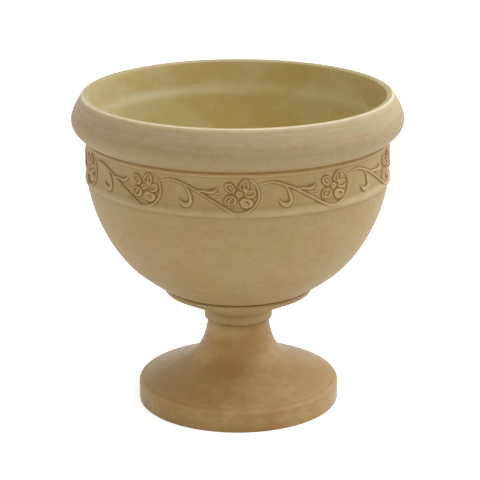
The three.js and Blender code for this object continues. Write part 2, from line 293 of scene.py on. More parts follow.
def tidied(name, *meshes):
    """Joins meshes into one closed surface that faces outwards."""
    work = bmesh.new()
    for mesh in meshes:
        work.from_mesh(mesh)
    bmesh.ops.remove_doubles(work, verts=work.verts, dist=1e-5)
    bmesh.ops.dissolve_degenerate(work, edges=work.edges, dist=1e-6)
    bmesh.ops.recalc_face_normals(work, faces=work.faces)
    open_edges = sum(not e.is_manifold for e in work.edges)
    volume = work.calc_volume(signed=True)
    if volume < 0:
        bmesh.ops.reverse_faces(work, faces=work.faces)
    result = bpy.data.meshes.new(name)
    work.to_mesh(result)
    work.free()
    take_material(result, meshes[0])
    print(f"{name}: {len(result.polygons)} faces, {open_edges} open edges, {abs(volume) * 1e6:.1f} cm3")
    return result


def combined(name, base, tool, operation):
    """Cuts one closed mesh from another, or joins it to it. All of it keeps the first one's material."""
    piece = put_in_scene(name, base)
    other = put_in_scene("tool", tool)
    modifier = piece.modifiers.new("combine", "BOOLEAN")
    modifier.operation = operation
    modifier.solver = "MANIFOLD"
    modifier.object = other
    made = evaluated_mesh(piece)
    bpy.data.objects.remove(other)
    made.name = name
    take_material(made, base)
    return made


SQUARE = ((-1, -1), (1, -1), (1, 1), (-1, 1))  # corners of a square, to be scaled


def prism(name, foot, top):
    """A closed solid between two outlines of as many points, in millimetres."""
    n = len(foot)
    faces = [(i, (i + 1) % n, n + (i + 1) % n, n + i) for i in range(n)]
    faces += [tuple(reversed(range(n))), tuple(range(n, 2 * n))]
    return plain_mesh(name, [(x * MM, y * MM, z * MM) for x, y, z in (*foot, *top)], faces=faces)


def smooth_shaded(mesh, crease=35):
    mesh.polygons.foreach_set("use_smooth", [True] * len(mesh.polygons))
    mesh.set_sharp_from_angle(angle=math.radians(crease))
    return mesh


print("trees run on carriers and come back as plain meshes")

# %% [markdown]
# ## Drawing profiles
#
# A profile is a list of radius and height. Its stretches are Bezier curves for the long sweeps, arcs of a
# sphere, and corners that are rounded by as much as each asks for. No moulding has a perfectly sharp
# corner, because the mould was polished and the plastic shrinks, and those small rounds catch the light.

# %% Curves and rounded corners
def bezier(corners, steps):
    a, b, c, d = (np.array(p, float) for p in corners)
    t = np.linspace(0, 1, steps + 1)[:, None]
    left = 1 - t
    return [tuple(p) for p in a * left**3 + 3 * b * t * left**2 + 3 * c * t**2 * left + d * t**3]


def sphere_arc(radius, centre_z, from_z, to_z, steps):
    start, end = (math.asin((z - centre_z) / radius) for z in (from_z, to_z))
    angles = np.linspace(start, end, steps + 1)
    return [(radius * math.cos(a), centre_z + radius * math.sin(a)) for a in angles]


def rounded(corners, steps=4):
    """Corners are (radius, height) or (radius, height, rounding)."""
    points = [np.array(c[:2], float) for c in corners]
    drawn = []
    for i, corner in enumerate(corners):
        size = corner[2] if len(corner) > 2 else 0
        if not size or i in (0, len(corners) - 1):
            drawn.append(tuple(points[i]))
            continue
        ends = []
        for other in (points[i - 1], points[i + 1]):
            way = other - points[i]
            length = np.linalg.norm(way)
            ends.append(points[i] + way / length * min(size, 0.45 * length))
        for t in np.linspace(0, 1, steps + 1):
            drawn.append(tuple(ends[0] * (1 - t) ** 2 + 2 * points[i] * t * (1 - t) + ends[1] * t**2))
    return drawn


def joined(*stretches):
    """One line out of stretches of which each starts where the last one ends."""
    return stretches[0] + [point for stretch in stretches[1:] for point in stretch[1:]]


corner = rounded([(0, 0), (1, 0, 0.3), (1, 1)], 2)
print("rounded square corner:", [(round(float(r), 2), round(float(z), 2)) for r, z in corner])

# %% [markdown]
# ## The washed stone finish
#
# The real urn is moulded in a sandy plastic. A brown wash was brushed over it and wiped off again, so it
# stays in the hollows, in faint horizontal streaks, and in cloudy patches, while raised edges are rubbed
# to a pale cream. The plastic keeps a low sheen. An image texture could hold all this, but it would blur
# close up. Here noise makes the patches, streaks and grain, and attributes on the mesh mark where the
# surface is a hollow, a rubbed edge, the inside of the bowl, the rim, or the top of the lip. Some of the
# colour is painted light. It is partly painted light in the paler rim, the paler lining, the cream on the
# lip's crest and the pedestal's brown under the bowl. It is wholly painted light in the shade on the top
# of the lip, the shadow in the gap under the collar and a reflection on the inner wall.

# %% Colours and noise
def srgb(red, green, blue):
    def linear(v):
        v = v / 255
        return v / 12.92 if v <= 0.04045 else ((v + 0.055) / 1.055) ** 2.4

    return (linear(red), linear(green), linear(blue), 1.0)


def new_material(name):
    material = bpy.data.materials.new(name)
    material.use_nodes = True
    material.node_tree.nodes.clear()
    return material, Wire(material.node_tree)


def mixed(mask, a, b):
    settings = {"data_type": "RGBA", "clamp_factor": True}
    return mask.node("ShaderNodeMix", {0: mask, 6: a, 7: b}, settings, 2)


def layered(colour, *layers):
    """Lays more colours over the first. Each layer is a mask and a colour."""
    for mask, paint in layers:
        colour = mixed(mask, colour, paint)
    return colour


def noise(place, scale, detail, roughness, seed):
    """Noise from 0 to 1. Three scales stretch it, and the seed is its fourth coordinate."""
    if isinstance(scale, tuple):
        place = place.node("ShaderNodeVectorMath", {0: place, 1: scale}, {"operation": "MULTIPLY"})
        scale = 1.0
    inputs = {"Vector": place, "W": seed, "Scale": scale, "Detail": detail, "Roughness": roughness}
    return place.node("ShaderNodeTexNoise", inputs, {"noise_dimensions": "4D"})


def surface(start, colour, roughness, strength, height, constants):
    """The shader of a solid. Its bumps have a strength and a height in metres."""
    bumps = start.node("ShaderNodeBump", {"Strength": strength, "Distance": 1.0, "Height": height})
    inputs = {"Base Color": colour, "Roughness": roughness, "Normal": bumps, **constants}
    shader = start.node("ShaderNodeBsdfPrincipled", inputs)
    start.node("ShaderNodeOutputMaterial", {"Surface": shader})


SAND = srgb(183, 159, 108)
SAND_PINK = srgb(186, 156, 110)
SAND_GREEN = srgb(177, 158, 108)
WASH_BROWN = srgb(126, 84, 32)
WASH_TAN = srgb(158, 121, 64)
WASH_GOLD = srgb(180, 140, 78)
RUBBED_SAND = srgb(204, 180, 132)
LIP_RUB_AND_HIGHLIGHT = srgb(226, 212, 178)
RIM_BLOOM_AND_LIGHT = srgb(176, 158, 130)
LINER_OLIVE_AND_LIGHT = srgb(204, 190, 136)
LINER_GOLD = srgb(192, 162, 94)
LINER_REFLECTION = srgb(210, 200, 164)
LIP_PAINTED_SHADE = srgb(158, 142, 100)
RIM_BROWN = srgb(160, 132, 90)
RIM_OLIVE = srgb(158, 146, 106)
PEDESTAL_TAN = srgb(198, 168, 102)
STEM_BROWN_AND_SHADE = srgb(167, 118, 40)
FOOT_RUST = srgb(172, 118, 62)
print("sand in linear light:", [round(v, 3) for v in SAND])


# %% The washed stone material
MARKS = ("hollow", "edge", "liner", "bloom", "golden", "rim_wash", "dust", "lip_top")


def washed_stone(name, sheen, specular, warm_low=None, warm_high=None):
    """Heights are in metres. The pedestal is browner above `warm_high`, partly as painted shade under the
    bowl, and rusty below `warm_low`.
    """
    material, start = new_material(name)
    place = start.node("ShaderNodeTexCoord", output="Object")
    hollow, edge, liner, bloom, golden, rim_wash, dust, lip_top = (
        start.node("ShaderNodeAttribute", None, {"attribute_name": mark}, "Fac") for mark in MARKS
    )
    patches = noise(place, 11, 3, 0.55, 1.0)
    cool = noise(place, 17, 3, 0.5, 7.0)
    haze = noise(place, (24, 24, 34), 5, 0.62, 71.0)
    clouds = noise(place, (14, 14, 20), 4, 0.6, 41.0)
    streaks = noise(place, (9, 9, 420), 4, 0.6, 3.0)
    broad_streaks = noise(place, (5, 5, 110), 3, 0.5, 5.0)
    rim_streaks = noise(place, (11, 11, 210), 4, 0.6, 51.0)
    mottle = noise(place, (95, 95, 150), 4, 0.65, 15.0)
    pits = noise(place, 260, 2, 0.5, 9.0)
    specks = noise(place, 420, 2, 0.4, 31.0)
    grain = noise(place, 900, 3, 0.6, 2.0)

    brushed = streaks.between(0.45, 0.75) * 0.13 + broad_streaks.between(0.5, 0.8) * 0.2
    rubbed_on = rim_streaks.between(0.58, 0.42) * 0.45 + mottle.between(0.35, 0.65) * 0.2
    colour = layered(
        SAND,
        (patches.between(0.38, 0.66), SAND_PINK),
        (haze.between(0.42, 0.62) * (1 - bloom) * 0.32, WASH_GOLD),
        (cool.between(0.46, 0.72) * 0.55, SAND_GREEN),
        # The rim is paler: partly a whitish bloom, partly painted light that the rim catches.
        (bloom * (0.3 + 0.7 * broad_streaks.between(0.35, 0.65)), RIM_BLOOM_AND_LIGHT),
        # The lining is olive, and paler than the outside as painted light inside the bowl.
        (liner, mixed(clouds.between(0.42, 0.62) * 0.6, LINER_OLIVE_AND_LIGHT, LINER_GOLD)),
        # Painted reflection: the inner ledge and the wall at the left are paler, where they would mirror
        # the light.
        (dust * (0.7 + 0.5 * broad_streaks), LINER_REFLECTION),
        # Painted shade: the top of the lip is darker, so that though it faces the light it looks as dark
        # as the inner wall.
        (lip_top * (0.6 + 0.5 * clouds), LIP_PAINTED_SHADE),
        (brushed * (1 + bloom - 0.6 * liner), WASH_TAN),
        (bloom * rim_streaks.between(0.45, 0.6) * 0.55, RIM_OLIVE),
        (rim_wash * rubbed_on, RIM_BROWN),
        (golden * (0.3 + 0.5 * patches), WASH_GOLD),
    )
    if warm_low is not None:
        height = start.node("ShaderNodeSeparateXYZ", {"Vector": place}, output="Z")
        # Browner higher up: partly the wash, partly painted shade and warm bounce light under the bowl.
        brown_and_shade = 0.85 + 0.15 * height.between(warm_low, warm_high)
        low = height.between(warm_low, 0.6 * warm_low)
        rust = noise(place, (20, 20, 30), 4, 0.6, 61.0)
        colour = layered(
            colour,
            (0.65 + 0.5 * cool, PEDESTAL_TAN),
            (brown_and_shade * (0.3 + 0.7 * clouds.between(0.38, 0.6)) * 0.9, STEM_BROWN_AND_SHADE),
            (mottle.between(0.38, 0.62) * 0.2, STEM_BROWN_AND_SHADE),
            (low * rust.between(0.45, 0.62) * 0.4, FOOT_RUST),
        )
    wash = (hollow * (0.5 + 0.85 * pits)).held()
    worn = (edge * (0.45 + 0.8 * cool)).held()
    colour = layered(
        colour,
        (wash**0.9, WASH_TAN),
        ((wash - 0.38).held() * 1.15, WASH_BROWN),
        # On the lip's crest the rubbed edge turns cream: partly wear, partly a painted highlight.
        (worn, mixed(bloom.between(0.6, 0.8), RUBBED_SAND, LIP_RUB_AND_HIGHLIGHT)),
        (mottle.between(0.4, 0.75) * (0.28 - 0.18 * liner), WASH_TAN),
        (specks.between(0.76, 0.82) * 0.5, WASH_BROWN),
        (grain.between(0.35, 0.68) * 0.10, WASH_TAN),
    )
    roughness = (0.52 + 0.14 * patches + 0.16 * wash - 0.10 * worn + 0.06 * grain).held(0.3, 0.95)
    height_map = streaks * 0.00005 + grain * 0.00005 + pits * 0.00010
    gloss = {"Sheen Weight": sheen, "Sheen Roughness": 0.4, "Specular IOR Level": specular}
    surface(start, colour, roughness, 0.55, height_map, gloss)
    return material


STONE_BOWL = washed_stone("washed_stone_bowl", 0.06, 0.5)
STONE_PEDESTAL = washed_stone("washed_stone_pedestal", 0.4, 0.85, 0.035, 0.085)
print("stone nodes:", len(STONE_BOWL.node_tree.nodes))

# %% [markdown]
# ## The frieze
#
# Round the bowl runs a shallow relief: a vine that rolls round a flower, with a hooked leaf and a pointed
# leaf between one flower and the next. It could be sculpted by hand or laid on as curves. A relief is a
# height above its ground, though, so it is drawn here as one: strokes and petals are added to a grid of
# heights, in millimetres, and the grid is then bent round the bowl. One flower's length is drawn, and the
# repeating tree sets ten of them round the axis.

# %% Strokes and petals on a grid of heights
FLOWERS = 10
PITCH = 115.0  # length of the drawing from flower to flower
BAND_TOP = 338.2  # heights of the band's two edges
BAND_FOOT = 286.6
SCRATCH_Z = 332.2  # a fine scratch runs round the band here, just below its upper border
GROUND = 182.2  # radius of the frieze's ground
COLUMNS = 240
ROWS = 84
INSET = 0.55  # petals and leaves start this far inside their drawn outline

grid_s = np.linspace(-PITCH / 2, PITCH / 2, COLUMNS + 1)
grid_z = np.linspace(BAND_FOOT, BAND_TOP, ROWS + 1)
S, Z = np.meshgrid(grid_s, grid_z)


def hump(values, middle, spread):
    """1 at the middle, and smoothly down to 0 on both sides of it."""
    return np.exp(-(((values - middle) / spread) ** 2))


def through_points(points, per=7):
    """A smooth line through the points."""
    p = np.array(points, float)
    p = np.vstack([2 * p[0] - p[1], p, 2 * p[-1] - p[-2]])
    t = np.linspace(0, 1, per, endpoint=False)[:, None]
    parts = [
        0.5 * (2 * b + (c - a) * t + (2 * a - 5 * b + 4 * c - d) * t**2 + (3 * b - 3 * c + d - a) * t**3)
        for a, b, c, d in zip(p, p[1:], p[2:], p[3:])
    ]
    return np.vstack(parts + [p[-2:-1]])


def nearest(line, shift):
    """Distance to a line, and how far along it, from 0 to 1, the nearest point lies."""
    best = np.full(S.shape, 1e9)
    along = np.zeros(S.shape)
    lengths = np.hypot(*np.diff(line, axis=0).T)
    run = np.concatenate([[0], np.cumsum(lengths)])
    for i, (a, b) in enumerate(zip(line, line[1:])):
        ab = b - a
        t = np.clip(((S - shift - a[0]) * ab[0] + (Z - a[1]) * ab[1]) / (ab @ ab + 1e-12), 0, 1)
        d = np.hypot(S - shift - a[0] - t * ab[0], Z - a[1] - t * ab[1])
        closer = d < best
        best = np.where(closer, d, best)
        along = np.where(closer, (run[i] + t * lengths[i]) / run[-1], along)
    return best, along


def inside(loop, shift):
    odd = np.zeros(S.shape, bool)
    for a, b in zip(loop, np.roll(loop, -1, axis=0)):
        if a[1] == b[1]:
            continue
        crosses = (Z > min(a[1], b[1])) & (Z <= max(a[1], b[1]))
        odd ^= crosses & (S - shift < a[0] + (Z - a[1]) * (b[0] - a[0]) / (b[1] - a[1]))
    return odd


def stroke(points, widths, heights):
    """A rounded ridge. Its half width and height run through the values given."""
    line = through_points(points)
    out = np.zeros(S.shape)
    for shift in (-PITCH, 0, PITCH):
        d, along = nearest(line, shift)
        half = np.interp(along, np.linspace(0, 1, len(widths)), widths)
        height = np.interp(along, np.linspace(0, 1, len(heights)), heights)
        out = np.maximum(out, height * np.clip(1 - (d / half) ** 2, 0, 1) ** 0.65)
    return out


def petal(points, height, rim, floor):
    """A closed outline with a rounded rim inside it and a lower floor within the rim."""
    loop = through_points(list(points) + [points[0]], 6)
    out = np.zeros(S.shape)
    for shift in (-PITCH, 0, PITCH):
        d, _ = nearest(loop, shift)
        d = np.where(inside(loop[:-1], shift), d - INSET, -1)
        roll = height * np.clip(1 - ((d - rim / 2) / (rim / 2)) ** 2, 0, 1) ** 0.6
        middle = floor * np.clip(d / (rim / 2), 0, 1)
        out = np.maximum(out, np.where(d > 0, np.maximum(roll, middle), 0))
    return out


print("relief grid:", S.shape, "step", round(PITCH / COLUMNS, 2), "mm")

# %% [markdown]
# The drawing itself is a list of strokes. A vine starts thin where it leaves the last loop, crosses the
# ground, and rolls up round the flower until it thins out again.

# %% The vine and its leaves
VINE = [(-92, 324.2), (-86, 325.9), (-78, 327.2), (-70, 326.2), (-60, 322.6), (-50, 318.2), (-40, 312.6),
        (-30, 306.6), (-20, 300.5), (-12, 295.8), (-4, 292.3), (3, 291.8), (10, 293.6), (16, 297.2),
        (21, 303), (23.6, 310), (23.4, 317), (21, 324), (16, 328.8), (12.5, 330)]
HOOK_STEM = [(-61, 322), (-58, 318), (-55.6, 313), (-54.1, 308), (-53.8, 304)]
HOOK_LEAF = [(-52.2, 305.4), (-52.2, 301), (-55.4, 297.0), (-60.8, 296.0), (-66.0, 299.4), (-70.6, 307.2),
             (-66.6, 305.9), (-63.6, 303.7), (-60.0, 302.9), (-56.8, 304.4), (-55.6, 306.8)]
LEAF_STEM = [(-50, 317.9), (-44, 317), (-38, 316.8), (-33, 315.4)]
POINTED_LEAF = [(-42, 317), (-36, 314.6), (-31, 313.5), (-26.6, 314.5), (-23.4, 317.6), (-22.2, 323),
                (-26.6, 319.8), (-31.6, 318.4), (-36.6, 317.9)]
vine = stroke(VINE, [0.9, 1.2] + [1.25] * 5 + [1.2, 0.8], [0.6, 1.8] + [1.9] * 5 + [1.8, 0.7])
hook = stroke(HOOK_STEM, [1.0, 1.3, 1.8, 2.4], [1.4, 1.7, 2.0, 2.2])
hook_leaf = petal(HOOK_LEAF, 2.3, 4.2, 2.0)
leaf_stem = stroke(LEAF_STEM, [0.9, 1.5, 1.6], [0.8, 1.7, 1.8])
pointed_leaf = petal(POINTED_LEAF, 2.2, 3.6, 1.8)
print("vine stands", round(vine.max(), 2), "mm proud")

# %% The flower
BUTTON = (1.4, 314.4)  # the middle of the flower
BUTTON_GAP = 4.6  # radius of the ground that is cleared round the button
BUTTON_RING = 2.4  # radius of the ring on the button
UPPER_LEFT = [(-15.8, 322), (-14.5, 326), (-10, 327.8), (-6.5, 327), (-4, 323.5), (-1.7, 319.5),
              (-4, 315.8), (-8, 315), (-13, 317.5)]
TOP = [(0, 322.5), (2, 327.5), (6, 331), (9.5, 332), (12.5, 329), (13, 323), (11.5, 317.5),
       (8.5, 316.4), (4.5, 318), (1.4, 319.6)]
RIGHT = [(6.6, 314.8), (9.5, 318), (14, 320), (19, 319.2), (21, 316), (20, 312), (16.5, 309.6),
         (11.5, 309.6), (8, 311.7)]
RIGHT_FOLD = [(8.4, 312.6), (12, 310.9), (17, 311.6), (19.2, 314.6)]
LOWER_RIGHT = [(1, 304.5), (2.5, 308.6), (7, 310.8), (12.5, 310), (17, 306.6), (18, 302), (14.5, 298),
               (9, 296.8), (4, 298.8)]
LOWER_LEFT = [(-16.2, 304.5), (-15.5, 309), (-12, 312.5), (-6, 313), (-1.7, 310), (-1.2, 305),
              (-4, 301.4), (-9, 300.6), (-14, 301.4)]
STAMENS = [[(-28, 314.6), (-23.4, 314.2), (-19, 315.4)], [(-28.5, 311.2), (-23, 310.9), (-17.5, 312.4)],
           [(-26.5, 308), (-22, 308.2), (-17, 309.6)]]
petals = [
    petal(UPPER_LEFT, 2.0, 2.2, 0.8),
    stroke([(-11, 325), (-8.2, 321.6), (-5.4, 318)], [0.8, 1.5, 1.0], [1.6, 2.1, 1.6]),
    petal(TOP, 2.3, 2.1, 0.8),
    stroke([(6.5, 323.6), (7.4, 320.6), (8.7, 317.8)], [0.8, 2.1, 2.0], [1.8, 2.6, 2.4]),
    petal(RIGHT, 1.1, 2.0, 0.7),
    stroke(RIGHT_FOLD, [1.0, 1.7, 1.9, 1.2], [1.8, 2.5, 2.5, 2.0]),
    petal(LOWER_RIGHT, 2.4, 5.0, 2.0),
    petal(LOWER_LEFT, 2.1, 2.0, 0.8),
    stroke([(-11, 303), (-10, 307), (-6.5, 310.5)], [0.9, 1.5, 0.9], [2.0, 2.4, 1.8]),
    stroke([(-7, 302.5), (-3.9, 304.6), (-3.3, 308)], [0.9, 1.3, 0.9], [2.0, 2.3, 1.8]),
]
flower = np.maximum.reduce(petals)
swirl = stroke([(9, 305.6), (10.8, 304.9), (11.8, 303.6)], [0.9, 1.3, 0.8], [1.0, 1.4, 0.9])
flower = np.maximum(flower - swirl, 0)
distance = np.hypot(S - BUTTON[0], Z - BUTTON[1])
flower = np.where(distance < BUTTON_GAP, 0.3, flower)
ring_side = np.arctan2(Z - BUTTON[1], S - BUTTON[0])
ring = np.clip(1 - ((distance - BUTTON_RING) / 1.2) ** 2, 0, 1) ** 0.6 * (1.5 - 0.6 * np.cos(ring_side))
button = np.maximum(ring, np.where(distance < BUTTON_RING, 0.7, 0))
stamens = [stroke(points, [0.4, 0.9, 0.4], [0.4, 1.0, 0.6]) for points in STAMENS]
ornament = np.maximum.reduce([vine, hook, hook_leaf, leaf_stem, pointed_leaf, flower, button, *stamens])
print("ornament covers", round(float((ornament > 0.3).mean()) * 100), "% of the band")

# %% [markdown]
# The band has two borders of its own, turned with the bowl. Adding them to the grid keeps the whole
# frieze one surface. A light blur then rounds everything off a little, as the mould's polish does. The
# blur wraps round sideways, so the left edge of the drawing still meets the right edge of the next one.

# %% Borders, and softening the grid
RELIEF_GAIN = 1.15  # how much bolder the ornament stands than it is drawn
POLISH = 0.32  # spread of the blur, in millimetres


def blurred(heights, mm):
    """A Gaussian blur that wraps round sideways and stops at the borders."""
    across = PITCH / COLUMNS
    up = (BAND_TOP - BAND_FOOT) / ROWS
    out = heights[:, :-1]
    for axis, step in ((1, across), (0, up)):
        reach = int(math.ceil(3 * mm / step))
        weights = np.exp(-0.5 * (np.arange(-reach, reach + 1) * step / mm) ** 2)
        weights /= weights.sum()
        pad = [(0, 0), (0, 0)]
        pad[axis] = (reach, reach)
        padded = np.pad(out, pad, mode="wrap" if axis == 1 else "edge")
        length = out.shape[axis]
        out = sum(w * np.take(padded, np.arange(i, i + length), axis) for i, w in enumerate(weights))
    return np.hstack([out, out[:, :1]])


def borders(z):
    """How far the turned profile of the band stands out of its ground."""
    slope = 2.4 * np.clip((297.2 - z) / 6.2, 0, 1) ** 1.2
    upper = 1.9 * np.clip((z - 332.6) / 1.6, 0, 1) ** 1.3
    scratch = 0.15 * hump(z, SCRATCH_Z, 0.5)
    return np.maximum(slope, upper) - scratch


heights = blurred(RELIEF_GAIN * ornament + borders(Z), POLISH)
heights[0, :] = borders(np.array(BAND_FOOT))
heights[-1, :] = borders(np.array(BAND_TOP))
print("band stands", round(float(heights.min()), 2), "to", round(float(heights.max()), 2), "mm proud")

# %% [markdown]
# ## Where the wash lies on the band
#
# Ambient Occlusion could find the hollows while rendering, but it is slow and can't be baked well. The
# heights are known here, though: where the surface lies below its own blurred copy it is a hollow, and
# where it lies above it is an edge. A much wider blur says where the ornament crowds together, because the
# wash was hard to wipe off there.

# %% Hollows, edges and crowded places of the band
wide = blurred(heights, 1.15)
near = blurred(heights, 1.0)
hollow_map = np.clip((wide - heights - 0.03) / 0.33, 0, 1)
hollow_map *= 1 - 0.65 * hump(Z, SCRATCH_Z, 1.6)
edge_map = np.clip((heights - near - 0.08) / 0.30, 0, 1)
# Pools of wash: place along the drawing, height, spread along, spread up, and strength.
POOLS = [(-59.6, 305.9, 3.0, 1.9, 1.1), (-29.5, 319.6, 5.0, 1.3, 0.8), (-2.0, 298.2, 8.0, 1.4, 0.6)]
for pool_s, pool_z, wide_s, wide_z, strength in POOLS:
    pool = strength * np.exp(-(((S - pool_s) / wide_s) ** 2) - ((Z - pool_z) / wide_z) ** 2)
    hollow_map = np.maximum(hollow_map, pool * (heights < 0.8))
crowding = blurred((ornament > 0.35).astype(float), 3.5)
golden_map = np.clip(crowding * 1.7 - 0.15, 0, 1)
golden_map = np.maximum(golden_map, 0.9 * np.clip((Z - 332.5) / 1.0, 0, 1))


def lookup(table, s, z):
    """Reads a table of the band at places along it, between its grid points."""
    col = np.clip((s / PITCH + 0.5) * COLUMNS, 0, COLUMNS - 1e-6)
    row = np.clip((z - BAND_FOOT) / (BAND_TOP - BAND_FOOT) * ROWS, 0, ROWS - 1e-6)
    i, j = col.astype(int), row.astype(int)
    u, v = col - i, row - j
    top = table[j + 1, i] * (1 - u) + table[j + 1, i + 1] * u
    foot = table[j, i] * (1 - u) + table[j, i + 1] * u
    return foot * (1 - v) + top * v


print("hollows cover", round(float((hollow_map > 0.3).mean()) * 100), "% of the band")

# %% [markdown]
# ## One panel of the frieze
#
# The grid becomes a panel of a tenth of a turn. Its top and foot have to meet the turned surfaces, which
# have fewer columns, so a fan of triangles leads from the fine rows to those coarse corners. Most of the
# panel is plain ground, where a fine grid is wasted, so Decimate thins it. Corners that must meet their
# neighbours are kept: Decimate leaves alone any edge that touches a vertex whose weight is zero. Decimate
# sees only shape, and the wash needs fine triangles too. So the hollows stand out of the panel while it is
# thinned, and then every vertex goes back to its true height.

# %% Bending the grid and thinning it
SIDES = 200
STEP = COLUMNS // (SIDES // FLOWERS)  # fine columns to one coarse column
WASH_RELIEF = 0.9  # how far the darkest wash stands out while the panel is thinned
PANEL_FACES = 13700


def vertex_places(mesh):
    place = np.empty(len(mesh.vertices) * 3)
    mesh.vertices.foreach_get("co", place)
    x, y, z = (place.reshape(-1, 3) / MM).T
    return x, y, z, np.hypot(x, y)


def on_band(s, radius, z):
    """A place on the band. The drawing's middle faces the front."""
    angle = s / PITCH * 2 * math.pi / FLOWERS
    return (radius * MM * math.sin(angle), -radius * MM * math.cos(angle), z * MM)


def panel_mesh():
    vertices = []
    faces = []
    marked = heights + WASH_RELIEF * hollow_map
    for row in range(1, ROWS):
        vertices += [on_band(s, GROUND + h, grid_z[row]) for s, h in zip(grid_s, marked[row])]
    width = COLUMNS + 1
    for row in range(ROWS - 2):
        for col in range(COLUMNS):
            a = row * width + col
            b, c, d = a + 1, a + width + 1, a + width
            faces += [(a, b, c), (a, c, d)] if (row + col) % 2 else [(a, b, d), (b, c, d)]
    pinned = {row * width + col for row in range(ROWS - 1) for col in (0, COLUMNS)}
    for row, fine_start, up in ((0, 0, False), (ROWS, (ROWS - 2) * width, True)):
        base = len(vertices)
        coarse = range(0, COLUMNS + 1, STEP)
        vertices += [on_band(grid_s[col], GROUND + heights[row][col], grid_z[row]) for col in coarse]
        pinned |= set(range(base, base + len(coarse)))
        for k in range(len(coarse) - 1):
            left, right = base + k, base + k + 1
            fine = [fine_start + k * STEP + j for j in range(STEP + 1)]
            half = STEP // 2
            fan = [(left, fine[j], fine[j + 1]) for j in range(half)]
            fan += [(left, fine[half], right)]
            fan += [(right, fine[j], fine[j + 1]) for j in range(half, STEP)]
            faces += [tuple(reversed(f)) for f in fan] if not up else fan
    return plain_mesh("panel", vertices, faces=faces), pinned


def thinned(mesh, pinned, ratio):
    piece = put_in_scene("panel", mesh)
    group = piece.vertex_groups.new(name="free")
    group.add([i for i in range(len(mesh.vertices)) if i not in pinned], 1.0, "REPLACE")
    group.add(list(pinned), 0.0, "REPLACE")
    modifier = piece.modifiers.new("thin", "DECIMATE")
    modifier.ratio = ratio
    modifier.vertex_group = "free"
    return evaluated_mesh(piece)


def settled(mesh):
    """Puts every vertex of a panel back at its true height."""
    x, y, z, radius = vertex_places(mesh)
    s = np.arctan2(x, -y) / (2 * math.pi) * FLOWERS * PITCH
    scale = (GROUND + lookup(heights, s, z)) / radius
    mesh.vertices.foreach_set("co", (np.c_[x * scale, y * scale, z] * MM).ravel())
    mesh.update()
    return mesh


panel, pinned = panel_mesh()
thin_panel = settled(thinned(panel, pinned, PANEL_FACES / len(panel.polygons)))
print("panel:", len(panel.polygons), "faces, thinned to", len(thin_panel.polygons))

# %% [markdown]
# ## The bowl
#
# The bowl is one moulding: a thick roll round the rim, the frieze, half a sphere, a stepped dish below it
# and a collar that closes over the pedestal's neck. The wall is about 8 mm thick. Inside, a shallow ledge
# runs round below the lip, and there is a flat floor with a drain hole. All of it but the frieze is one
# turned profile.

# %% The bowl's profile
BOWL_CENTRE = 309  # height of the middle of the bowl's sphere
OUTER_RADIUS = 184
INNER_RADIUS = 176.2
RIM_TOP = 390
LIP_INSIDE = 178.4  # radius
BOWL_FLOOR = 127
DRAIN = 10.4  # radius of the drain hole
SOCKET_ROOF = 119.5  # the pedestal's neck stands in a socket under the floor
SOCKET = 37.8  # radius of that socket
COLLAR_FOOT = 105.7


def belly(radius, z):
    """The lower bowl is a little fuller than a true sphere."""
    fuller = 1.25 * math.exp(-(((z - 183) / (14 if z < 183 else 36)) ** 2))
    slope = math.atan2(z - BOWL_CENTRE, radius)
    return (radius + fuller * math.cos(slope), z + fuller * math.sin(slope))


def bowl_profile():
    roll_foot = bezier([(184.4, 339.0), (191.6, 343.4), (200, 349.4), (200, 360)], 10)
    roll = bezier([(200, 360), (199.6, 370.0), (191.9, 380.8), (187.6, 388.4)], 9)
    lip = rounded([(187.6, 388.4), (185.2, RIM_TOP, 1.2), (183.2, RIM_TOP, 0.6), (LIP_INSIDE, 388.4, 0.9),
                   (LIP_INSIDE, 384)], 3)
    wall = rounded([(LIP_INSIDE, 384), (LIP_INSIDE, 358, 6), (176.4, 347, 6), (176.3, 338, 3),
                    (INNER_RADIUS, BOWL_CENTRE)], 4)
    hollow = sphere_arc(INNER_RADIUS, BOWL_CENTRE, BOWL_CENTRE, 158.7, 16)
    slope = bezier([hollow[-1], (84, 153.8), (62, 137.5), (48, 128.6)], 6)
    floor = rounded([(48, 128.6), (45, BOWL_FLOOR, 2.5), (11.2, BOWL_FLOOR, 0.6), (DRAIN, 126.2),
                     (DRAIN, SOCKET_ROOF)], 2)
    socket = [(DRAIN, SOCKET_ROOF), (SOCKET, SOCKET_ROOF), (SOCKET, 106.0), (38.1, COLLAR_FOOT),
              (40.8, COLLAR_FOOT)]
    collar = rounded([(40.8, COLLAR_FOOT), (41.7, 106.2, 0.7), (41.9, 111.5, 2), (41.6, 116.6, 2.4),
                      (44.6, 119.9)], 4)
    dish = bezier([(44.6, 119.9), (58, 127.0), (77, 135.6), (89.4, 141.8)], 9)
    dish_edge = rounded([(89.4, 141.8), (91.0, 143.6, 1.6), (90.2, 148.0, 1.6), (88.9, 149.2)], 3)
    step = rounded([(88.9, 149.2), (92.2, 150.0, 1.0), (95.0, 151.8, 1.5), (97.5, 153.6)], 2)
    sphere = [belly(*p) for p in sphere_arc(OUTER_RADIUS, BOWL_CENTRE, 153.4, 284.6, 24)]
    band_foot = (GROUND + float(heights[0, 0]), BAND_FOOT)
    seam = [sphere[-1], (182.4, 285.7), (182.7, 286.1), (184.0, 286.3), band_foot]
    return joined(roll_foot, roll, lip, wall, hollow, slope, floor, socket, collar, dish, dish_edge, step,
                  sphere, seam)


profile = bowl_profile()
top_of_band = (GROUND + float(heights[-1, 0]), BAND_TOP)
profile = [top_of_band, (184.1, 338.9)] + profile
print("bowl profile:", len(profile), "points")

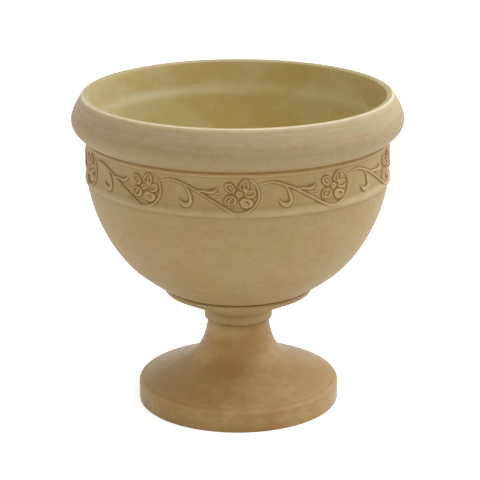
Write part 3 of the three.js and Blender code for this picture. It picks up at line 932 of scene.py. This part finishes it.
# %% Bowl: turned part and ten panels
turned_part = turned(profile, STONE_BOWL, SIDES, closed=False)
panels = around_axis(thin_panel, FLOWERS, STONE_BOWL)
bowl_mesh = tidied("bowl_form", turned_part, panels)
print("bowl triangles:", sum(len(p.vertices) - 2 for p in bowl_mesh.polygons))

# %% [markdown]
# ## The screw holes
#
# Three screws go down through the floor of the bowl. Their holes are cut with a Boolean, whose Manifold
# solver is quick and exact on closed meshes like this one.

# %% Cutting the holes
SCREWS = 3
SCREW_CIRCLE = 23.5  # radius on which the screws stand
SCREW_HOLE = 2.75  # radius
FRONT = -math.pi / 2


def pins(radius, low, high, material, sides=24):
    """Upright cylinders on the screw circle, in millimetres."""
    turn = np.arange(sides) / sides * 2 * math.pi
    foot, top = (
        [(SCREW_CIRCLE + radius * math.cos(a), radius * math.sin(a), z) for a in turn] for z in (low, high)
    )
    return tidied("pins", around_axis(prism("pin", foot, top), SCREWS, material, FRONT))


bowl_mesh = combined("bowl_form", bowl_mesh, pins(SCREW_HOLE, 117, 130, STONE_BOWL), "DIFFERENCE")
print("bowl with holes:", len(bowl_mesh.polygons), "faces")

# %% [markdown]
# ## The wash on the bowl
#
# The turned grooves and ridges are known by their radius and height. They are joined with the maps of the
# band and go onto the mesh as attributes, one number for each vertex, which the material reads. The other
# marks follow from a vertex's place alone. The first is the lining. The second is the paler rim, partly a
# whitish bloom and partly painted light, with the brown rubbed over it. Then come the painted shade on the
# top of the lip and a painted reflection on the inner ledge and on the wall at the left.

# %% Marks on the bowl
# The groove at radius 88.5 and height 143 is painted shade on the downward face of the dish's edge.
BOWL_GROOVES = [(184.3, 339.5, 2.5, 1.2), (183.0, 332.3, 0.7, 0.1), (182.6, 285.8, 0.9, 0.5),
                (182.4, 297.6, 1.8, 0.35), (89.6, 149.4, 3.0, 1.0), (88.5, 143.0, 4.0, 0.1),
                (42.2, 118.0, 2.6, 0.45), (41.0, 105.7, 1.2, 1.0)]
# The ridge on the lip's crest, at radius 186, is partly rubbed wear and partly a painted highlight.
BOWL_RIDGES = [(186.0, 389.5, 1.5, 1.0), (184.2, 334.2, 0.8, 0.3), (184.3, 290.6, 3.4, 0.75),
               (90.9, 145.4, 1.3, 0.45), (42.0, 111.5, 5.0, 0.3), (76.0, 135.0, 16.0, 0.2)]
BOWL_GOLD = [(185.6, 341.0, 4.0, 0.9), (41.9, 111.0, 7.0, 0.9), (58.0, 126.5, 20.0, 0.5),
             (84.0, 139.5, 8.0, 0.3)]
MID_WALL = 180  # radius of a sphere between the inner and the outer face of the wall
FLOOR_CURVE = 159  # height below which the inside leaves the sphere and runs in to the floor
LEDGE = 353  # height of the ledge inside
ROLL_FOOT = 341  # height of the lower edge of the rim's roll


def ring_marks(radius, z, rings):
    """Marks along turned lines. Each is radius, height, spread and strength."""
    mark = np.zeros(z.shape)
    for ring_radius, ring_z, spread, strength in rings:
        away = np.hypot(radius - ring_radius, z - ring_z)
        mark = np.maximum(mark, strength * hump(away, 0, spread))
    return mark


def gap_shadow(x, y, z):
    """Painted shadow of a gap in the joint under the collar, at the front left."""
    in_joint = (y < 0) & (np.hypot(x, y) > 37)
    return 1.4 * hump(x, -12, 3.6) * hump(z, 105.4, 1.6) * in_joint


def is_lining(radius, z):
    """True inside the bowl and on top of the lip: on the inner side of the middle of the wall."""
    middle = np.sqrt(np.maximum(MID_WALL**2 - np.minimum(z - BOWL_CENTRE, 0) ** 2, 0))
    middle = np.where(z > LEDGE, 179, middle)
    near_floor = np.interp(z, [BOWL_FLOOR, FLOOR_CURVE], [50, 93])
    middle = np.where(z < FLOOR_CURVE, near_floor, middle)
    middle = np.where(z > RIM_TOP - 1.8, 184.2, middle)
    return (radius < middle) & (z > BOWL_FLOOR - 1)


def set_marks(mesh, **marks):
    for name, values in marks.items():
        attribute = mesh.attributes.new(name, "FLOAT", "POINT")
        attribute.data.foreach_set("value", np.asarray(values, np.float32))


x, y, z, radius = vertex_places(bowl_mesh)
in_band = (z > BAND_FOOT - 0.01) & (z < BAND_TOP + 0.01) & (radius > 180.5)
s = ((np.arctan2(x, -y) / (2 * math.pi) * FLOWERS + 0.5) % 1 - 0.5) * PITCH
hollow = ring_marks(radius, z, BOWL_GROOVES)
hollow = np.where(in_band, np.maximum(hollow, lookup(hollow_map, s, z)), hollow)
# The painted shadow of the gap in the collar joint joins the hollows.
hollow = np.maximum(hollow, gap_shadow(x, y, z))
edge = ring_marks(radius, z, BOWL_RIDGES)
edge = np.where(in_band, np.maximum(edge, 0.9 * lookup(edge_map, s, z)), edge)
golden = np.where(in_band, lookup(golden_map, s, z), 0)
golden = np.maximum(golden, ring_marks(radius, z, BOWL_GOLD))
lining = is_lining(radius, z)
on_rim = (radius > 179.5) & (z > ROLL_FOOT) & ~lining
side = np.degrees(np.arctan2(y, x)) % 360
# Painted reflection of the light on the inner ledge at the back left and on the wall at the left.
ledge_dust = 0.95 * hump(side, 130, 32) * hump(z, LEDGE, 7)
wall_dust = 0.4 * hump(side, 175, 30)
set_marks(
    bowl_mesh,
    hollow=hollow,
    edge=edge,
    golden=golden,
    liner=lining,
    # Painted shade on the top of the lip.
    lip_top=lining & (z > RIM_TOP - 2.5),
    dust=np.where(lining & (z < RIM_TOP - 4), np.maximum(ledge_dust, wall_dust), 0.0),
    # The rim is paler the higher up it lies: partly a whitish bloom, partly painted light that it catches.
    bloom=on_rim * (0.35 + 0.5 * np.clip((z - 350) / 25, 0, 1)),
    rim_wash=on_rim * hump(z, 366, 11),
)
print("hollow on", int((hollow > 0.3).sum()), "vertices, edge on", int((edge > 0.3).sum()))

bowl = put_in_scene("bowl_moulding", smooth_shaded(bowl_mesh))
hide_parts("bowl")
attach(bowl, "urn")

# %% [markdown]
# ## The pedestal
#
# The second moulding is hollow underneath. Its neck stands inside the bowl's collar, the stem flares out
# into a skirt, and the foot has an upright side with a fine line above it. Six webs under the
# skirt stiffen it, and three bosses under its top plate take the screws. The shell is turned like the bowl
# and the webs and bosses are joined to it with Booleans, because a real moulding is one solid too.

# %% The pedestal's profile
RIBS = 6
RIB_THICK = 4.0
BITE = 1.5  # how far a rib reaches into the shell
NECK = 37.9  # radius where the neck ends and the stem begins
FOOT_RADIUS = 123.9
FOOT_INSIDE = 118.4  # radius
SKIRT_HIGH = (72, 49.7)  # two places on the upper face of the skirt
SKIRT_LOW = (119, 28.9)
SKIRT_WALL = 5.4


def skirt_inside(radius):
    """Height of the lower face of the skirt."""
    slope = (SKIRT_HIGH[1] - SKIRT_LOW[1]) / (SKIRT_LOW[0] - SKIRT_HIGH[0])
    return SKIRT_HIGH[1] - (radius - SKIRT_HIGH[0]) * slope - SKIRT_WALL * math.hypot(1, slope)


def pedestal_profile():
    top = rounded([(13.5, 113.2), (13.5, 119.2, 0.6), (37.4, 119.2, 0.8), (37.4, 105.7, 0.3),
                   (NECK, 105.3, 0.3), (40.6, 105.3, 0.7), (38.4, 102.6, 1.5), (NECK, 99.8)])
    stem = bezier([(NECK, 99.8), (42.1, 76.2), (47.0, 60.2), (71.2, 48.4)], 26)
    skirt = rounded([(71.2, 48.4), (103.6, 35.0), (117.6, 29.2, 1.0), (118.4, 28.5, 0.5),
                     (119.4, 28.3, 0.5), (121.8, 26.8, 1.2), (FOOT_RADIUS, 24.0, 1.8),
                     (FOOT_RADIUS, 12)], 4)
    side = rounded([(FOOT_RADIUS, 12), (123.8, 0, 1.2), (FOOT_INSIDE, 0, 0.8),
                    (118.1, skirt_inside(FOOT_INSIDE) - 4, 1), (115.4, skirt_inside(115.4), 1),
                    (70, skirt_inside(70))], 3)
    bore = bezier([(70, skirt_inside(70)), (41, 57), (33.6, 80), (33, 103.9)], 16)
    plate = rounded([(33, 103.9), (33, 113.2, 2), (13.5, 113.2)], 4)
    return joined(top, stem, skirt, side, bore, plate)[1:]


def rib_mesh():
    outer = FOOT_INSIDE + BITE
    outline = [(outer, skirt_inside(outer) - 12), (outer, skirt_inside(FOOT_INSIDE) - 4),
               (115.4, skirt_inside(115.4) + BITE), (72, skirt_inside(72) + BITE), (57, 54), (45, 66),
               (54, skirt_inside(54) - 12)]
    left, right = ([(r, y, z) for r, z in outline] for y in (-RIB_THICK / 2, RIB_THICK / 2))
    return prism("rib", left, right)


pedestal_mesh = tidied("pedestal_shell", turned(pedestal_profile(), STONE_PEDESTAL))
ribs = tidied("ribs", around_axis(rib_mesh(), RIBS, STONE_PEDESTAL, math.pi / RIBS))
for tool, operation in (
    (ribs, "UNION"),
    (pins(6, 92, 114, STONE_PEDESTAL, 32), "UNION"),
    (pins(SCREW_HOLE, 90, 121, STONE_PEDESTAL), "DIFFERENCE"),
):
    pedestal_mesh = combined("pedestal_form", pedestal_mesh, tool, operation)
print("pedestal:", len(pedestal_mesh.polygons), "faces")

# %% The pedestal's wash and its place on the urn
PEDESTAL_GROOVES = [(40.8, 105.4, 1.0, 1.0), (38.4, 102.4, 2.5, 0.4), (118.5, 28.3, 0.7, 0.6),
                    (123.8, 0.0, 1.6, 0.4)]
PEDESTAL_RIDGES = [(117.4, 29.3, 0.8, 0.3), (123.4, 25.0, 1.6, 0.1)]
x, y, z, radius = vertex_places(pedestal_mesh)
# The painted shadow of the gap in the collar joint joins the hollows here too.
hollow = np.maximum(ring_marks(radius, z, PEDESTAL_GROOVES), gap_shadow(x, y, z))
set_marks(pedestal_mesh, hollow=hollow, edge=ring_marks(radius, z, PEDESTAL_RIDGES))
pedestal = put_in_scene("pedestal_moulding", smooth_shaded(pedestal_mesh))
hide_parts("pedestal")
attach(pedestal, "urn")
print("pedestal rides on the urn")

# %% [markdown]
# ## Three screws
#
# Three pan-head screws of plated steel hold the two mouldings together. Blender's Screw modifier could
# draw a thread, but it leaves the ends open. Here the radius of the shank rises and falls along a helix
# instead, so that head, shank and thread are one closed mesh. A Boolean cuts the cross recess, and the
# repeating tree sets the screws round the drain hole.

# %% One screw
THREAD_PITCH = 1.4
THREAD_HEIGHT = 0.62
CORE = 1.75  # radius of the shank between the threads
HEAD_HEIGHT = 3.6
SCREW_TIP = -29.9
SCREW_SIDES = 32

def threaded_screw():
    """A screw in millimetres whose head stands on z = 0."""
    turn = np.arange(SCREW_SIDES) / SCREW_SIDES * 2 * math.pi
    dome = bezier([(0.0, HEAD_HEIGHT), (3.7, HEAD_HEIGHT), (5.2, 2.9), (5.2, 1.4)], 10)
    head = joined(dome, rounded([(5.2, 1.4), (5.2, 0, 0.5), (2.1, 0, 0.2), (2.1, -1.0)], 3))[1:]
    rings = [(np.full(SCREW_SIDES, r), z) for r, z in head]
    for z in np.arange(-1.0, -29.6, -THREAD_PITCH / 6)[1:]:
        phase = (z / THREAD_PITCH - turn / (2 * math.pi)) % 1
        tooth = np.clip(1.5 * (1 - np.abs(2 * phase - 1)), 0, 1) * min(1, (-1 - z) / 1.5)
        rings.append(((CORE + THREAD_HEIGHT * tooth) * np.interp(z, [-30, -26], [0.06, 1]), z))
    vertices = [(r * math.cos(a), r * math.sin(a), z) for radii, z in rings for r, a in zip(radii, turn)]
    last = len(vertices)
    vertices += [(0, 0, HEAD_HEIGHT), (0, 0, SCREW_TIP)]
    faces = []
    for i in range(SCREW_SIDES):
        j = (i + 1) % SCREW_SIDES
        faces += [(last, i, j), (last + 1, last - SCREW_SIDES + j, last - SCREW_SIDES + i)]
        for k in range(0, last - SCREW_SIDES, SCREW_SIDES):
            faces.append((k + i, k + SCREW_SIDES + i, k + SCREW_SIDES + j, k + j))
    return plain_mesh("screw", [tuple(MM * np.array(v)) for v in vertices], faces=faces)


def recess_wing(angle):
    """One of the two wings of the driver, which narrows downwards."""
    foot = [(x, 0.35 * y, 1.3) for x, y in SQUARE]
    top = [(2.7 * x, 0.62 * y, 4.2) for x, y in SQUARE]
    wing = prism("wing", foot, top)
    wing.transform(Matrix.Rotation(angle, 4, "Z"))
    return tidied("wing", wing)


screw_mesh = tidied("screw", threaded_screw())
for angle in (0.4, 0.4 + math.pi / 2):
    screw_mesh = combined("screw", screw_mesh, recess_wing(angle), "DIFFERENCE")
print("one screw:", len(screw_mesh.polygons), "faces")

# %% [markdown]
# Plated steel is nearly neutral, with a faint yellow cast in clouds and fine marks from turning. Its
# metallic value is the same everywhere, so it is set on the shader's own socket.

# %% Plated steel
def plated_steel():
    material, start = new_material("plated_steel")
    place = start.node("ShaderNodeTexCoord", output="Object")
    clouds = noise(place, 240, 3, 0.5, 11.0)
    marks = noise(place, (500, 500, 3200), 2, 0.6, 12.0)
    dirt = noise(place, 700, 4, 0.65, 13.0)
    colour = layered(
        srgb(164, 162, 154),
        (clouds.between(0.35, 0.7), srgb(176, 168, 144)),
        (dirt.between(0.55, 0.8) * 0.5, srgb(128, 118, 98)),
    )
    roughness = (0.26 + 0.22 * dirt + 0.12 * marks).held(0.2, 0.8)
    surface(start, colour, roughness, 0.4, marks * 0.00002, {"Metallic": 1.0})
    return material


PLATED_STEEL = plated_steel()


def set_in_neck(mesh, height):
    """Moves a piece out to the screw circle and up, and repeats it."""
    mesh.transform(Matrix.Translation((SCREW_CIRCLE * MM, 0, height)))
    return around_axis(mesh, SCREWS, PLATED_STEEL, FRONT)


head_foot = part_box("neck_screw_1")[1][2] - HEAD_HEIGHT * MM
screws_mesh = tidied("screws", set_in_neck(screw_mesh, head_foot))
screws = put_in_scene("neck_screws", smooth_shaded(screws_mesh, 40))
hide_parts("neck_screw_1", "neck_screw_2", "neck_screw_3")
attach(screws, "urn")

# %% [markdown]
# ## The washers
#
# A wide washer under each head spreads its load, so that it doesn't pull through the plastic. It was
# stamped from sheet, so its edges are slightly rounded. It is turned with the same tree as the bowl.

# %% Washers
WASHER = rounded([(5, 0), (7.5, 0, 0.25), (7.5, 1.2, 0.4), (2.75, 1.2, 0.3), (2.75, 0, 0.15), (4.9, 0)], 3)
washer_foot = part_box("screw_washer_1")[0][2]
washer_mesh = tidied("washers", set_in_neck(turned(WASHER, PLATED_STEEL, 64), washer_foot))
washers = put_in_scene("screw_washers", smooth_shaded(washer_mesh))
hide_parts("screw_washer_1", "screw_washer_2", "screw_washer_3")
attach(washers, "urn")
print("washers stand at", round(washer_foot / MM, 1), "mm")

# %% [markdown]
# ## The drain plug
#
# A rubber stopper closes the drain hole, and it lifts out when the urn stands outdoors and has to drain.
# It has a knob to pull it by, a flange that lies on the floor of the bowl, and three soft ribs that seal.
# It is one turned piece too, whose profile starts and ends on the axis.

# %% Plug
PLUG_DEPTH = 12.7
PLUG = [(0, 15), (3.9, 15, 2.2), (5.0, 12, 1.6), (3.4, 8, 1.8), (3.5, 3.5, 1.0), (11.6, 3.3, 0.8),
        (14, 1.6, 0.9), (14, 0, 0.5), (9.8, 0, 0.4), (9.4, -2, 0.4), (9.9, -2.8, 0.5), (9.3, -3.6, 0.4),
        (9.2, -5.2, 0.4), (9.7, -6, 0.5), (9.1, -6.8, 0.4), (9, -8.4, 0.4), (9.4, -9.2, 0.5),
        (8.8, -10, 0.4), (8.6, -11.6, 0.8), (7.4, -PLUG_DEPTH, 0.8), (0, -PLUG_DEPTH)]


def rubber():
    material, start = new_material("plug_rubber")
    place = start.node("ShaderNodeTexCoord", output="Object")
    dust = noise(place, 160, 4, 0.6, 21.0)
    grain = noise(place, 1500, 3, 0.6, 22.0)
    colour = layered(
        srgb(40, 38, 36),
        (grain.between(0.3, 0.7), srgb(54, 51, 48)),
        (dust.between(0.48, 0.75) * 0.55, srgb(118, 106, 86)),
    )
    roughness = (0.5 + 0.3 * dust + 0.1 * grain).held(0.4, 0.9)
    surface(start, colour, roughness, 0.5, grain * 0.00004, {"Specular IOR Level": 0.4})
    return material


plug_mesh = tidied("plug", turned(rounded(PLUG, 3), rubber(), 72, closed=False))
plug_mesh.transform(Matrix.Translation((0, 0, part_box("drain_plug")[0][2] + PLUG_DEPTH * MM)))
plug = put_in_scene("rubber_plug", smooth_shaded(plug_mesh))
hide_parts("drain_plug")
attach(plug, "plug")

# %% [markdown]
# ## The floor and the light
#
# A pale floor and a soft light show a form best. The floor is lit like any surface, so that it keeps the
# urn's shadow, and it adds a little light of its own for the camera alone, so that it looks white. The
# world does the same: the camera sees white, and the urn is lit by a dimmer grey. Most of the light of the
# six lamps comes from above and from the right.

# %% Floor
def for_camera(start):
    """1 for rays that show the background, straight or in a reflection."""
    labels = ("Is Camera Ray", "Is Glossy Ray", "Is Transmission Ray")
    straight, mirrored, passed = (start.node("ShaderNodeLightPath", output=label) for label in labels)
    return (straight + mirrored + passed).held()


def floor_material():
    material, start = new_material("pale_floor")
    matt = start.node("ShaderNodeBsdfDiffuse", {"Color": (0.88, 0.88, 0.88, 1), "Roughness": 1.0})
    glow = start.node("ShaderNodeEmission", {"Color": (1, 1, 1, 1), "Strength": for_camera(start) * 0.62})
    both = start.node("ShaderNodeAddShader", {0: matt, 1: glow})
    start.node("ShaderNodeOutputMaterial", {"Surface": both})
    return material


FLOOR_SIZE = 12
corners = [(x * FLOOR_SIZE / 2, y * FLOOR_SIZE / 2, 0) for x, y in SQUARE]
floor_mesh = plain_mesh("floor", corners, faces=[(0, 1, 2, 3)])
floor_mesh.materials.append(floor_material())
floor = put_in_scene("floor", floor_mesh)
print("floor is", FLOOR_SIZE, "m wide")


# %% World and lamps
AMBIENT = 0.25
AIM = Vector((0, 0, 0.2))  # all lamps point at the middle of the urn

world = bpy.data.worlds.new("studio")
world.use_nodes = True
world.node_tree.nodes.clear()
start = Wire(world.node_tree)
level = AMBIENT + (1 - AMBIENT) * for_camera(start)
sky = start.node("ShaderNodeBackground", {"Color": (1, 1, 1, 1), "Strength": level})
start.node("ShaderNodeOutputWorld", {"Surface": sky})
bpy.context.scene.world = world


def softbox(name, place, size, watts, colour=(1, 1, 1)):
    light = bpy.data.lights.new(name, "AREA")
    light.shape = "RECTANGLE"
    light.size, light.size_y = size
    light.energy = watts
    light.color = colour
    lamp = bpy.data.objects.new(name, light)
    lamp.location = place
    lamp.rotation_euler = (AIM - lamp.location).to_track_quat("-Z", "Y").to_euler()
    bpy.context.scene.collection.objects.link(lamp)


softbox("top", (0, 0.3, 2.3), (1.2, 1.2), 21.5)
softbox("top_right", (1.1, -0.2, 2.1), (1.2, 1.2), 18, (0.96, 0.99, 1.04))
softbox("right", (2.2, 0, 0.55), (1.0, 0.9), 7.5, (0.88, 0.97, 1.12))
softbox("back_right", (1.7, 1.1, 1.0), (1.0, 1.0), 10)
softbox("left", (-2.0, 0.3, 0.4), (1.0, 0.8), 4.6)
softbox("front", (0.1, -1.9, 1.5), (1.2, 1.0), 9)
bpy.context.scene.view_settings.view_transform = "Standard"
